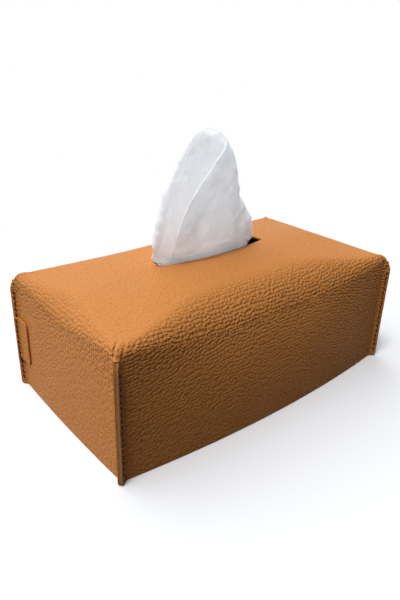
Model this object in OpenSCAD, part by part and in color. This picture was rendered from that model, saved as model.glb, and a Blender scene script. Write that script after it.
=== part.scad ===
// A leather tissue box cover that slips over a flat carton of tissues.
// The origin is the middle of the footprint, on the surface that the cover stands on.
// X runs along the cover, Y to its back and Z up. All sizes are in millimetres.

/* [Carton] */
// Length of the tissue carton
carton_l = 235; // [215:1:255]
// Width of the tissue carton
carton_w = 122; // [110:1:135]
// Height of the tissue carton
carton_h = 72; // [62:1:76]
// Thickness of the carton's paperboard
carton_wall = 0.6; // [0.4:0.1:1]
// Length of the window in the carton's top
window_l = 150; // [130:1:180]
// Width of the window in the carton's top
window_w = 46; // [36:1:60]
// Thickness of the film under the window
film_t = 0.25; // [0.15:0.05:0.5]
// Width of the glued rim of the film round the window
film_lap = 8; // [4:1:12]
// Length of the slit in the film
slit_l = 126; // [116:1:134]
// Width of the slit in the film where the tissue holds it open
slit_w = 22; // [18:1:30]

/* [Cover] */
// Gap between the carton's sides and the lining
slip_gap = 2.6; // [1:0.1:5]
// Room above the carton at the top's edges, for the next tissue to rise in
headroom = 18; // [12:1:30]
// Thickness of the outer leather
leather_t = 1.1; // [0.8:0.1:1.4]
// Thickness of the stiffening board
board_t = 0.8; // [0.5:0.1:1.2]
// Thickness of the lining
lining_t = 0.5; // [0.3:0.1:0.8]
// How much higher the middle of the top is than its edges
top_crown = 6; // [2:0.1:8]
// How much lower the corners of the top are than its edges
corner_drop = 3.8; // [0:0.1:6]
// Radius of the bend over the middle of a long wall
side_roll = 27; // [16:0.5:29]
// Radius of the bend over the middle of an end wall
end_roll = 20; // [12:0.5:24]
// Radius of the bends where they reach a corner
corner_roll = 5.5; // [4.5:0.1:9]
// Distance from a corner over which the bends reach their full radius
roll_run = 86; // [50:1:120]
// How far the hem of a long wall bows outward at its middle
side_bow = 7.5; // [0:0.1:10]
// How far the hem of an end wall bows outward at its middle
end_bow = 1.3; // [0:0.1:5]

/* [Corner seams] */
// How far a seam's edge stands out from the corner of the walls
seam_reach = 3.5; // [3:0.1:6]
// Gap between the two layers that a seam presses together
seam_gap = 0.1; // [0.05:0.05:0.3]
// Radius of the rounded foot of a seam
seam_foot_r = 3; // [1:0.1:3]
// Height over which a seam ends below the top's corner
seam_end_h = 1.6; // [0.8:0.1:4]
// Distance between needle holes
stitch_pitch = 4.2; // [3:0.1:6]
// Distance from a seam's edge to its stitches
stitch_inset = 2.4; // [1.5:0.1:3]
// Radius of the waxed thread
thread_r = 0.38; // [0.25:0.01:0.5]
// Radius of the thread where it is drawn through a needle hole
hole_thread_r = 0.28; // [0.15:0.01:0.34]

/* [Slot] */
// Length of the slot in the top
slot_l = 103; // [96:1:120]
// Width of the slot at its ends
slot_w = 10; // [8:0.5:14]
// How far the slot lies behind the middle of the top
slot_back = 6; // [0:0.5:8]
// How far the middle of the slot's front lip is pushed forward
front_lip_bow = 5.8; // [2:0.1:8]
// How far the middle of the slot's rear lip is pushed back
rear_lip_bow = 1.5; // [0:0.1:4]
// Depth of the soft dip along the front lip
lip_dip = 1.2; // [0:0.1:3]
// Distance from the front lip over which the dip fades
dip_run = 18; // [8:1:30]

/* [Side tab] */
// Height of the blank tab in the left end's rear seam
tab_h = 34; // [20:1:50]
// How far the tab reaches along the end wall from the seam
tab_reach = 10.5; // [8:0.5:20]
// Thickness of the tab
tab_t = 1.2; // [0.8:0.1:2]
// Radius of the tab's free corners
tab_r = 4; // [1:0.5:5]
// Height of the tab's lower edge above the hem
tab_z = 22; // [10:1:35]
// Gap between the tab and the leather behind it
tab_gap = 0.5; // [0.3:0.1:1]

/* [Tissues] */
// Length of the stack of folded tissues
stack_l = 208; // [180:1:212]
// Width of the stack of folded tissues
stack_w = 106; // [95:1:108]
// Height of the stack of folded tissues
stack_h = 57; // [40:1:58]
// Height of one fold that shows in the side of the stack
fold_h = 3; // [2:0.5:6]
// Depth of the groove between two folds
fold_d = 1.2; // [0.5:0.1:2]
// Height of the raised tissue above the top of the slot
tissue_rise = 86.5; // [70:0.5:105]
// Width of the raised tissue in the slot
tissue_w = 78.5; // [70:0.5:84]
// Depth of the tissue where the slot gathers it
tissue_pinch = 4; // [3:0.1:5]
// Greatest depth of the raised tissue
tissue_d = 23; // [16:1:30]
// Thickness that stands for the two plies of the tissue
tissue_t = 0.6; // [0.4:0.1:0.8]
// Gap between the tissue and what it passes
tissue_gap = 0.35; // [0.3:0.05:0.6]

/* [Hidden] */

// Overrun of a cut past the face that it leaves
cut_over = 1;
// How fast the hem's bow grows towards the hem
bow_power = 1.4;
// Faces along a side between its two seams, round a bend, and from a bend to the slot
side_n = 16;
bend_n = 6;
flat_n = 4;
// Shares of the slot's half length and half width that its lips and ends take, up to its
// small round corners
lip_share = 0.985;
slot_end_share = 0.9;
// Share of the columns' spacing that is drawn towards the corners
crowd_share = 0.4;

// Depths of the layers below the outer face
board_depth = leather_t + board_t;
skin_t = leather_t + board_t + lining_t;
// Half sizes of the walls' outer faces, and the height of the top's edges
half_l = carton_l / 2 + slip_gap + skin_t;
half_w = carton_w / 2 + slip_gap + skin_t;
edge_h = carton_h + headroom + skin_t;
corner_h = edge_h - corner_drop - corner_roll;
// Half thickness of a corner seam
seam_half = leather_t + lining_t + seam_gap / 2;
half_slot = slot_l / 2;
slot_top = edge_h + top_crown;

// Rings of the walls as shares of their height, from the hem to the bend
foot_share = seam_foot_r / corner_h;
hem_share = foot_share / 4;
mid_shares = [0.28, 0.52, 0.76];
seam_top_share = 1 - seam_end_h / corner_h;
wall_shares = concat([0, hem_share, foot_share], mid_shares, [seam_top_share, 1]);
wall_n = len(wall_shares) - 1;
ring_n = wall_n + bend_n + flat_n;
cols = side_n + 1;
all_cols = 4 * cols;

function clamp01(v) = max(0, min(1, v));
function ease(v) = let (s = clamp01(v)) s * s * (3 - 2 * s);
function mix(a, b, s) = a + (b - a) * s;
function square_of(v) = v * v;

// Radius of the bend over a long wall at x, and over an end wall at y
function side_r(x) = mix(corner_roll, side_roll, ease((half_l - abs(x)) / roll_run));
function end_r(y) = mix(corner_roll, end_roll, ease((half_w - abs(y)) / roll_run));

// Lines of the slot's front and rear lips at x
function lip_bow(x) = max(0, 1 - square_of(x / half_slot));
function front_lip(x) = slot_back - slot_w / 2 - front_lip_bow * lip_bow(x);
function rear_lip(x) = slot_back + slot_w / 2 + rear_lip_bow * lip_bow(x);

// Height of the crowned top without its bends
function top_z(x, y) =
    let (u = clamp01(abs(x) / half_l), v = clamp01(abs(y) / half_w),
        near_end = 1 - ease((half_l - abs(x)) / roll_run),
        near_side = 1 - ease((half_w - abs(y)) / roll_run))
    edge_h + top_crown * (1 - u * u) * (1 - v * v) - corner_drop * near_end * near_side
        - lip_dip * lip_bow(x) * ease(1 - abs(y - front_lip(x)) / dip_run);

// Height of the skin at a depth below the outer face, with the bends over the walls
function skin_z(x, y, depth) =
    let (rx = end_r(y) - depth, ry = side_r(x) - depth,
        ex = clamp01(1 - (half_l - depth - abs(x)) / rx),
        ey = clamp01(1 - (half_w - depth - abs(y)) / ry),
        both = ex * ex + ey * ey,
        r = both > 0 ? (rx * ex * ex + ry * ey * ey) / both : 0)
    top_z(x, y) - depth - r * (1 - sqrt((1 - ex * ex) * (1 - ey * ey)));

// How far a seam's edge stands out at a height
function foot_arc(z) = sqrt(max(0, square_of(seam_foot_r) - square_of(seam_foot_r - z)));
function reach_at(z, share) =
    share >= 1 ? 0
    : z < seam_foot_r ? seam_reach - seam_foot_r + foot_arc(z)
    : seam_reach;

// Place of a column in its side's own frame: along the side, and out from the middle
function root_in(depth) = sqrt(2) * (seam_half - depth) + depth;
function tip_in(depth, reach) = (seam_half - depth - reach) / sqrt(2);
function tip_out(depth, reach) = (seam_half - depth + reach) / sqrt(2);
function spread(s) = mix(s, sin(90 * s), crowd_share);
function is_tip(j) = j == 0 || j == side_n;
function along(j, half, depth, reach) =
    is_tip(j) ? (j == 0 ? -1 : 1) * (half - tip_in(depth, reach))
    : (half - root_in(depth)) * spread(-1 + 2 * (j - 1) / (side_n - 2));
function turned(side, q, out) =
    side == 0 ? [q, -out] : side == 1 ? [out, q] : side == 2 ? [-q, out] : [-out, -q];
function side_half(side) = side % 2 == 0 ? half_l : half_w;
function side_out(side) = side % 2 == 0 ? half_w : half_l;
function side_bend(side, q) = side % 2 == 0 ? side_r(q) : end_r(q);
function side_swell(side) = side % 2 == 0 ? side_bow : end_bow;

// A point of a wall, on the ring with this share of the wall's height
function wall_point(side, j, share, depth) =
    let (half = side_half(side), out = side_out(side),
        q0 = along(j, half, depth, 0),
        foot = turned(side, q0, out - depth),
        top = skin_z(foot[0], foot[1], depth),
        z = share * top,
        reach = reach_at(z, share),
        q = along(j, half, depth, reach),
        swell = is_tip(j) ? 0 : side_swell(side) * (1 - square_of(q / (half - root_in(depth)))),
        at = is_tip(j) ? out + tip_out(depth, reach)
            : out - depth + max(0, swell) * pow(1 - share, bow_power),
        p = turned(side, q, at))
    [p[0], p[1], z];

// The slot's edge at a column
function slot_edge(side, j) =
    let (v = -1 + 2 * j / side_n,
        x = half_slot * lip_share * v,
        y = slot_w / 2 * slot_end_share * v)
    side == 0 ? [x, front_lip(x)] : side == 1 ? [half_slot, slot_back + y]
    : side == 2 ? [-x, rear_lip(x)] : [-half_slot, slot_back - y];

// A point of the bends and the top, between a wall and the slot's edge
function top_point(side, j, step, depth) =
    let (from = wall_point(side, j, 1, depth), to = slot_edge(side, j),
        q = side % 2 == 0 ? from[0] : from[1],
        room = side % 2 == 0 ? abs(from[1] - to[1]) : abs(from[0] - to[0]),
        bend_share = (side_bend(side, q) - depth) / room,
        s = step <= bend_n ? bend_share * (1 - cos(90 * step / bend_n))
            : mix(bend_share, 1, (step - bend_n) / flat_n),
        x = mix(from[0], to[0], s), y = mix(from[1], to[1], s))
    [x, y, skin_z(x, y, depth)];

function skin_point(c, k, depth) =
    let (side = floor(c / cols), j = c % cols)
    k <= wall_n ? wall_point(side, j, wall_shares[k], depth)
    : top_point(side, j, k - wall_n, depth);

// Rings and columns that a wall's board leaves free at its hem and beside its seams
free_n = 2;
last_wall_ring = wall_n - 1;
first_top_ring = wall_n + bend_n;
last_top_ring = ring_n - 1;
function on_wall_board(c, k) =
    let (j = c % cols) j >= free_n && j <= side_n - free_n && k >= free_n && k <= last_wall_ring;
function on_top_board(k) = k >= first_top_ring && k <= last_top_ring;

// Outer depth of the lining: under a board where there is one, else against the leather
function lining_depth(c, k) = on_wall_board(c, k) || on_top_board(k) ? board_depth : leather_t;

// A closed solid between two equal grids of points, over the cells that exist
module laid(outer, inner, col_n, row_n, wraps, has) {
    half = len(outer);
    function at(c, k) = k * col_n + (c % col_n);
    function quad(a, b, c, d) = [[a, d, c], [a, c, b]];
    function under(a, b, c, d) = [[a, c, d], [a, b, c]];
    function cell(c, k) =
        k >= 0 && k < row_n && (wraps || (c >= 0 && c < col_n - 1)) && has((c + col_n) % col_n, k);
    last = wraps ? col_n - 1 : col_n - 2;
    quads = [for (k = [0:row_n - 1]) for (c = [0:last]) if (cell(c, k))
        let (a = at(c, k), b = at(c + 1, k), d = at(c, k + 1), e = at(c + 1, k + 1))
        each [
            each quad(a, b, e, d),
            each under(a + half, b + half, e + half, d + half),
            if (!cell(c, k - 1)) each quad(a + half, b + half, b, a),
            if (!cell(c, k + 1)) each quad(d, e, e + half, d + half),
            if (!cell(c - 1, k)) each quad(a + half, a, d, d + half),
            if (!cell(c + 1, k)) each quad(b, b + half, e + half, e)
        ]];
    polyhedron(points = concat(outer, inner), faces = quads, convexity = 10);
}

function skin_grid(depths) = [for (k = [0:ring_n]) for (c = [0:all_cols - 1])
    skin_point(c, k, depths(c, k))];

// A corner's cells exist only above its seam
function not_in_seam(c, k) = c % cols < side_n || k >= wall_n;

module outer_leather() {
    color("#c4803f")
        laid(skin_grid(function (c, k) 0), skin_grid(function (c, k) leather_t),
            all_cols, ring_n, true, function (c, k) not_in_seam(c, k));
}

// The lining stops short of the hem, where the leather stands alone
module lining() {
    color("#8a6a4a")
        laid(skin_grid(function (c, k) lining_depth(c, k)),
            skin_grid(function (c, k) lining_depth(c, k) + lining_t),
            all_cols, ring_n, true, function (c, k) not_in_seam(c, k) && k >= 1);
}

module board(first_col, last_col, first_ring, last_ring) {
    color("#9a8f80")
        laid(skin_grid(function (c, k) leather_t), skin_grid(function (c, k) board_depth),
            all_cols, ring_n, true,
            function (c, k) c >= first_col && c < last_col && k >= first_ring && k < last_ring);
}

module wall_board(side) {
    first = side * cols;
    board(first + free_n, first + side_n - free_n, free_n, last_wall_ring);
}

// Waxed thread through one corner seam: a bar across at each needle hole, and a stitch
// between holes along both faces. Beside the tab the stitches lie on the tab.
stitch_room = corner_h - seam_end_h - 2 * seam_foot_r;
stitch_n = floor(stitch_room / stitch_pitch);
stitch_low = seam_foot_r + (stitch_room - stitch_n * stitch_pitch) / 2;
stitch_l = stitch_pitch - hole_thread_r;
function on_tab(z) = z > tab_z && z < tab_z + tab_h;
function face_out(z, has_tab) = seam_half + (has_tab && on_tab(z) ? tab_gap + tab_t : 0);
function bar_out(z, has_tab) =
    max(face_out(z - stitch_pitch / 2, has_tab), face_out(z + stitch_pitch / 2, has_tab));

module seam_thread(side_x, side_y, tab_face = 0) {
    color("#7a3a22")
        translate([side_x * half_l, side_y * half_w, 0])
            rotate([0, 0, atan2(side_y, side_x)])
                translate([seam_reach - stitch_inset, 0, stitch_low])
                    for (i = [0:stitch_n]) {
                        z = stitch_low + i * stitch_pitch;
                        mid = z + stitch_pitch / 2;
                        high = bar_out(z, tab_face > 0);
                        deep = bar_out(z, tab_face < 0);
                        translate([0, -deep, z - stitch_low])
                            rotate([-90, 0, 0])
                                cylinder(h = high + deep, r = hole_thread_r, $fn = 24);
                        if (i < stitch_n)
                            for (face = [-1, 1])
                                translate([0, face * face_out(mid, face == tab_face), mid - stitch_low])
                                    cylinder(h = stitch_l, r = thread_r, center = true, $fn = 24);
                    }
}

// The blank tab: a flat leaf along the end wall with a root on the seam's face
module side_tab() {
    // The leaf and its root bend by 45 degrees where the wall meets the seam
    miter_share = sqrt(2) - 1;
    turn_share = sqrt(0.5);
    face = -half_l - tab_gap;
    bend = half_w - root_in(0) - tab_gap * miter_share;
    root_l = seam_reach;
    color("#b9763a")
        translate([0, 0, tab_z])
            intersection() {
                linear_extrude(height = tab_h)
                    polygon([
                        [face, bend - tab_reach],
                        [face, bend],
                        [face - root_l * turn_share, bend + root_l * turn_share],
                        [face - (root_l + tab_t) * turn_share, bend + (root_l - tab_t) * turn_share],
                        [face - tab_t, bend - tab_t * miter_share],
                        [face - tab_t, bend - tab_reach]
                    ]);
                translate([face + cut_over, bend - tab_reach, 0])
                    rotate([0, -90, 0])
                        tab_outline(tab_t + root_l + 2 * cut_over);
            }
}

module tab_outline(depth) {
    linear_extrude(height = depth) {
        translate([tab_r, 0])
            square([tab_h - 2 * tab_r, tab_reach + seam_reach]);
        translate([0, tab_r])
            square([tab_h, tab_reach + seam_reach - tab_r]);
        for (x = [tab_r, tab_h - tab_r])
            translate([x, tab_r])
                circle(r = tab_r, $fn = 48);
    }
}

module lens(length, width, depth) {
    // Two equal arcs that meet in points at the ends
    r = (square_of(length / 2) + square_of(width / 2)) / width;
    linear_extrude(height = depth)
        intersection() {
            translate([0, r - width / 2])
                circle(r = r, $fn = 180);
            translate([0, width / 2 - r])
                circle(r = r, $fn = 180);
        }
}

// The window in the carton's top has straight sides and round ends
module window_outline(depth) {
    linear_extrude(height = depth) {
        square([window_l - window_w, window_w], center = true);
        for (side = [-1, 1])
            translate([side * (window_l - window_w) / 2, 0])
                circle(d = window_w, $fn = 72);
    }
}

module carton() {
    color("#e9e4da")
        difference() {
            translate([-carton_l / 2, -carton_w / 2, 0])
                cube([carton_l, carton_w, carton_h]);
            translate([-carton_l / 2 + carton_wall, -carton_w / 2 + carton_wall, carton_wall])
                cube([carton_l - 2 * carton_wall, carton_w - 2 * carton_wall, carton_h - 2 * carton_wall]);
            translate([0, 0, carton_h - carton_wall - cut_over])
                window_outline(carton_wall + 2 * cut_over);
        }
}

module window_film() {
    color("#dfe7ea")
        difference() {
            translate([0, 0, carton_h - carton_wall - film_t / 2])
                cube([window_l + 2 * film_lap, window_w + 2 * film_lap, film_t], center = true);
            translate([0, 0, carton_h - carton_wall - film_t - cut_over])
                lens(slit_l, slit_w, film_t + 2 * cut_over);
        }
}

// The folded edges show as a row of grooves down both long sides
module tissue_stack() {
    fold_n = floor(stack_h / fold_h);
    step = stack_h / fold_n;
    lip_share = 0.3;
    side = [for (i = [0:fold_n - 1]) each [
        [stack_w / 2 - fold_d, i * step],
        [stack_w / 2, (i + lip_share) * step],
        [stack_w / 2, (i + 1 - lip_share) * step]
    ]];
    outline = concat(side, [[stack_w / 2 - fold_d, stack_h]]);
    other = [for (i = [len(outline) - 1:-1:0]) [-outline[i][0], outline[i][1]]];
    color("#f4f4f2")
        translate([-stack_l / 2, 0, carton_wall])
            rotate([90, 0, 90])
                linear_extrude(height = stack_l)
                    polygon(concat(outline, other));
}

// The raised tissue is one sheet, rolled like a cornet: its back stands highest, and its
// right side folds over the front. Heights are shares of the rise above the slot.
tissue_low = carton_wall + stack_h + tissue_gap;
tissue_rows = 20;
tissue_cols = 26;
low_rows = 5;
row_shares = [0, 0.03, 0.08, 0.15, 0.23, 0.32, 0.42, 0.53, 0.64, 0.74, 0.83, 0.9, 0.95, 0.98, 1];
// Left and right outlines as shares of the tissue's width in the slot
left_shares = [-0.55, -0.63, -0.66, -0.68, -0.67, -0.65, -0.61, -0.56, -0.5, -0.44, -0.38,
    -0.32, -0.26, -0.2, -0.14];
right_shares = [0.45, 0.49, 0.51, 0.48, 0.44, 0.38, 0.31, 0.26, 0.23, 0.2, 0.17,
    0.12, 0.05, -0.02, -0.09];
// Depth of the roll as shares of its greatest depth, and its growth towards the front fold
rim_grow_share = 0.8;
fold_grow_share = 1.05;
depth_shares = [0.17, 0.3, 0.5, 0.68, 0.83, 0.94, 1, 0.98, 0.9, 0.8, 0.68, 0.56, 0.44, 0.3, 0.16];
// Angles where the sheet starts at its left rim and ends at its front fold
rim_angles = [194, 196, 200, 206, 209, 209, 206, 203, 200, 197, 194, 191, 189, 187, 186];
fold_angles = [-140, -138, -133, -124, -114, -105, -96, -86, -76, -66, -56, -47, -40, -34, -30];

function tissue_z(i) =
    i < low_rows ? mix(tissue_low, slot_top, i / low_rows)
    : slot_top + tissue_rise * row_shares[i - low_rows];

// The gathered tissue lies against the front lip of the slot
function pinch_y(x, angle) =
    front_lip(x) + tissue_gap + tissue_t / 2 + tissue_pinch * (1 + sin(angle)) / 2;

function tissue_point(i, j) =
    let (n = max(0, i - low_rows),
        s = j / (tissue_cols - 1),
        left = tissue_w * left_shares[n], right = tissue_w * right_shares[n],
        angle = mix(rim_angles[n], fold_angles[n], s),
        grow = mix(rim_grow_share, fold_grow_share, s),
        x = (left + right) / 2 + (right - left) / 2 * cos(angle),
        free = ease((tissue_z(i) - slot_top) / (tissue_rise * row_shares[3])),
        open_y = tissue_d / 2 * depth_shares[n] * grow * sin(angle),
        y = mix(pinch_y(x, angle), open_y, free))
    [x, y];

// The same sheet half a thickness to either side, across its own direction
function tissue_face(i, j, side) =
    let (a = tissue_point(i, max(0, j - 1)), b = tissue_point(i, min(tissue_cols - 1, j + 1)),
        d = b - a, p = tissue_point(i, j), w = side * tissue_t / 2 / norm(d))
    [p[0] - d[1] * w, p[1] + d[0] * w, tissue_z(i)];

module raised_tissue() {
    color("white")
        laid([for (i = [0:tissue_rows - 1]) for (j = [0:tissue_cols - 1]) tissue_face(i, j, -1)],
            [for (i = [0:tissue_rows - 1]) for (j = [0:tissue_cols - 1]) tissue_face(i, j, 1)],
            tissue_cols, tissue_rows - 1, false, function (c, k) true);
}

outer_leather();
lining();
board(0, all_cols, first_top_ring, last_top_ring);  // top_board
wall_board(0);  // front_board
wall_board(2);  // back_board
wall_board(3);  // left_board
wall_board(1);  // right_board
seam_thread(-1, -1);  // seam_thread_front_left
seam_thread(1, -1);  // seam_thread_front_right
seam_thread(-1, 1, 1);  // seam_thread_back_left
seam_thread(1, 1);  // seam_thread_back_right
side_tab();
carton();
window_film();
tissue_stack();
raised_tissue();
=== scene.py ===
# A leather tissue box cover that stands over a flat carton of tissues.
# Sizes in the dictionaries are millimetres, the scene is in metres.
import math

import bmesh
import bpy
from mathutils import Matrix, Vector, noise


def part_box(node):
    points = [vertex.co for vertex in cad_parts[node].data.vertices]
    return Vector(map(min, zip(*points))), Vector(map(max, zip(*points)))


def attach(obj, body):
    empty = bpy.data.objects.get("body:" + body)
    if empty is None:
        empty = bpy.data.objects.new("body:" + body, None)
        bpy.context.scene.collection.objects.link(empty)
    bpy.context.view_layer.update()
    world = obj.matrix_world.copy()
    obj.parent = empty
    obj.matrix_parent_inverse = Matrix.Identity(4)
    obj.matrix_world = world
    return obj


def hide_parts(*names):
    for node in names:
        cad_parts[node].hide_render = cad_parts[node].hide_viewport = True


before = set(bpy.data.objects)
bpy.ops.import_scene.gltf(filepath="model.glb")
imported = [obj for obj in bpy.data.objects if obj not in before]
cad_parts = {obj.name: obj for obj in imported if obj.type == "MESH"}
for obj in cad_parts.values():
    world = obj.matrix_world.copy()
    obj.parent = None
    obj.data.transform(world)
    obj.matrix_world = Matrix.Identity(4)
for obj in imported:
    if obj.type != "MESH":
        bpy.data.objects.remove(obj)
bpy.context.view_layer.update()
mm = 0.001
scene = bpy.context.scene


def clamp(value, low=0.0, high=1.0):
    return max(low, min(high, value))


def ease(value):
    s = clamp(value)
    return s * s * (3 - 2 * s)


def mix(a, b, share):
    return a + (b - a) * share


def along(table, place):  # a smooth curve through evenly spaced values
    last = len(table) - 1
    i = int(clamp(place, 0, last - 1))
    s = place - i
    a, b, c, d = table[max(i - 1, 0)], table[i], table[i + 1], table[min(i + 2, last)]
    return b + 0.5 * s * (c - a + s * (2 * a - 5 * b + 4 * c - d + s * (3 * (b - c) + d - a)))


def rounded(radius, gap):  # how far a rounded edge has fallen back at this gap from its end
    return radius - math.sqrt(max(0.0, radius ** 2 - (radius - gap) ** 2)) if gap < radius else 0.0


def nodeBox(name):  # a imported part's lowest and highest corners, in millimetres
    low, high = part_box(name)
    return Vector(low) / mm, Vector(high) / mm


# Camera, fitted to the photo's outline
view = {
    "azimuth": -40.095,
    "elevation": 24.998,
    "distance": 450.72,
    "target": (13.125, 28.773, 45.0),
    "roll": 1.678,
    "lens": 33.29,
}


def makeCamera():
    azimuth, elevation, roll = (math.radians(view[k]) for k in ("azimuth", "elevation", "roll"))
    back = Vector((math.sin(azimuth) * math.cos(elevation), -math.cos(azimuth) * math.cos(elevation),
                   math.sin(elevation)))
    level = Vector((math.cos(azimuth), math.sin(azimuth), 0))
    right = level * math.cos(roll) + back.cross(level) * math.sin(roll)
    data = bpy.data.cameras.new("camera")
    data.lens = view["lens"]
    data.clip_start, data.clip_end = 0.01, 20
    camera = bpy.data.objects.new("camera", data)
    turn = Matrix((right, back.cross(right), back)).transposed().to_4x4()
    camera.matrix_world = Matrix.Translation((Vector(view["target"]) + back * view["distance"]) * mm) @ turn
    scene.collection.objects.link(camera)
    scene.camera = camera


makeCamera()
scene.view_settings.view_transform = "Standard"
print("camera in place")


# Materials
def hexColour(code):
    shares = [int(code[i:i + 2], 16) / 255 for i in (1, 3, 5)]
    return [s / 12.92 if s <= 0.04045 else ((s + 0.055) / 1.055) ** 2.4 for s in shares] + [1.0]


def addNode(tree, kind, inputs=None, stops=(), **settings):
    node = tree.nodes.new(kind)
    for name, value in settings.items():
        setattr(node, name, value)
    for socket, value in (inputs or {}).items():
        if isinstance(value, bpy.types.NodeSocket):
            tree.links.new(value, node.inputs[socket])
        else:
            node.inputs[socket].default_value = value
    for i, (place, colour) in enumerate(stops):
        ramp = node.color_ramp.elements
        stop = ramp[i] if i < len(ramp) else ramp.new(place)
        stop.position, stop.color = place, hexColour(colour)
    return node


def newMaterial(name):
    material = bpy.data.materials.new(name)
    material.use_nodes = True
    tree = material.node_tree
    tree.nodes.clear()
    return material, tree, addNode(tree, "ShaderNodeTexCoord").outputs["Object"]


grain = {
    "pebble": 2.5,  # width of one pebble of the milled grain
    "fine": 1.5, "fineShare": 0.25,  # small pebbles between the large ones, and their share of the depth
    "stretch": (0.92, 1.08, 0.0),  # pebbles lie along the length of the hide
    "scatter": 0.65,  # how unevenly the pebbles are set
    "domeFoot": 0.75, "domeTop": 0.05,  # a pebble rises from its crease to its top between these
    "warp": 1.4, "warpWave": 8,  # drift of the pebbles' lines, and how soon it changes
    "row": 0.09, "rowShift": 1.1,  # wavy wrinkles that line the pebbles up
    "relief": 0.66,  # depth of the creases between pebbles
    "pore": 0.4, "poreShare": 0.1,  # hair pores, drawn wider than real to show
    "patch": 60, "patchShare": 0.5,  # broad cloudy patches of the dye
    "toneSpan": 1.6,
    "creaseRough": 0.66, "topRough": 0.5, "gloss": 0.1, "ior": 1.45,
    # colours from the creases to the pebbles' tops: the creases come out darker than the tops, which is
    # painted shade in the creases
    "tones": ((0.0, "#bb763a"), (0.45, "#c78142"), (1.0, "#cb8647")),
}


# Full-grain leather, drum-milled so that it pebbles, with a thin satin finish. Light that grazes
# it picks out every pebble, and light from above hardly shows them.
def milledLeather(name, relief=1.0):
    material, tree, place = newMaterial(name)
    hide = addNode(tree, "ShaderNodeAttribute", attribute_name="hide").outputs["Vector"]
    worked = addNode(tree, "ShaderNodeSeparateXYZ", {0: hide}).outputs["Z"]
    laid = addNode(tree, "ShaderNodeVectorMath", {0: hide, 1: grain["stretch"]}, operation="MULTIPLY")
    warp = addNode(tree, "ShaderNodeTexNoise", {"Vector": laid.outputs[0], "Detail": 2.0,
                                               "Scale": 1 / (grain["warpWave"] * mm)})
    centred = addNode(tree, "ShaderNodeVectorMath", {0: warp.outputs["Color"], 1: (0.5, 0.5, 0.5)},
                      operation="SUBTRACT")
    shifted = addNode(tree, "ShaderNodeVectorMath", {0: centred.outputs[0], "Scale": grain["warp"] * mm * 2},
                      operation="SCALE")
    warped = addNode(tree, "ShaderNodeVectorMath", {0: laid.outputs[0], 1: shifted.outputs[0]},
                     operation="ADD")
    domes = []
    for size in (grain["pebble"], grain["fine"]):
        cells = addNode(tree, "ShaderNodeTexVoronoi", {
            "Vector": warped.outputs[0], "Scale": 1 / (size * mm), "Randomness": grain["scatter"]},
            voronoi_dimensions="2D")
        domes.append(addNode(tree, "ShaderNodeMapRange", {
            "Value": cells.outputs["Distance"], "From Min": grain["domeFoot"], "From Max": grain["domeTop"]},
            interpolation_type="SMOOTHSTEP"))
    # One wrinkle to a pebble, since the node's bands are pi / 10 wide at scale 1
    wrinkles = addNode(tree, "ShaderNodeTexWave", {
        "Vector": warped.outputs[0], "Scale": math.pi / (10 * grain["pebble"] * mm),
        "Phase Offset": grain["rowShift"]}, bands_direction="Y")
    rows = addNode(tree, "ShaderNodeMath", {0: wrinkles.outputs["Fac"], 1: grain["row"],
                                            2: domes[0].outputs[0]}, operation="MULTIPLY_ADD")
    pebbles = addNode(tree, "ShaderNodeMath", {0: domes[1].outputs[0], 1: grain["fineShare"],
                                               2: rows.outputs[0]}, operation="MULTIPLY_ADD")
    pores = addNode(tree, "ShaderNodeTexNoise", {"Vector": place, "Scale": 1 / (grain["pore"] * mm),
                                                "Detail": 2.0})
    height = addNode(tree, "ShaderNodeMath", {0: pores.outputs["Fac"], 1: grain["poreShare"],
                                              2: pebbles.outputs[0]}, operation="MULTIPLY_ADD")
    depth = addNode(tree, "ShaderNodeMath", {0: worked, 1: grain["relief"] * relief}, operation="MULTIPLY")
    bump = addNode(tree, "ShaderNodeBump", {"Height": height.outputs[0], "Distance": depth.outputs[0]})
    patches = addNode(tree, "ShaderNodeTexNoise", {"Vector": place, "Scale": 1 / (grain["patch"] * mm),
                                                  "Detail": 3.0})
    # The colour follows the dye's cloudy patches and the pebbles' height, so the creases between pebbles are
    # coloured darker than their tops: painted shade in the creases, on top of the real dye patches
    tone = addNode(tree, "ShaderNodeMath", {0: patches.outputs["Fac"], 1: grain["patchShare"],
                                            2: pebbles.outputs[0]}, operation="MULTIPLY_ADD")
    spread = addNode(tree, "ShaderNodeMapRange", {"Value": tone.outputs[0], "From Max": grain["toneSpan"]})
    colour = addNode(tree, "ShaderNodeValToRGB", {"Fac": spread.outputs[0]}, grain["tones"])
    rough = addNode(tree, "ShaderNodeMapRange", {"Value": pebbles.outputs[0], "To Min": grain["creaseRough"],
                                                "To Max": grain["topRough"]})
    surface = addNode(tree, "ShaderNodeBsdfPrincipled", {
        "Base Color": colour.outputs[0], "Roughness": rough.outputs[0], "IOR": grain["ior"],
        "Specular IOR Level": grain["gloss"], "Normal": bump.outputs[0]})
    addNode(tree, "ShaderNodeOutputMaterial", {"Surface": surface.outputs[0]})
    return material


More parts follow.
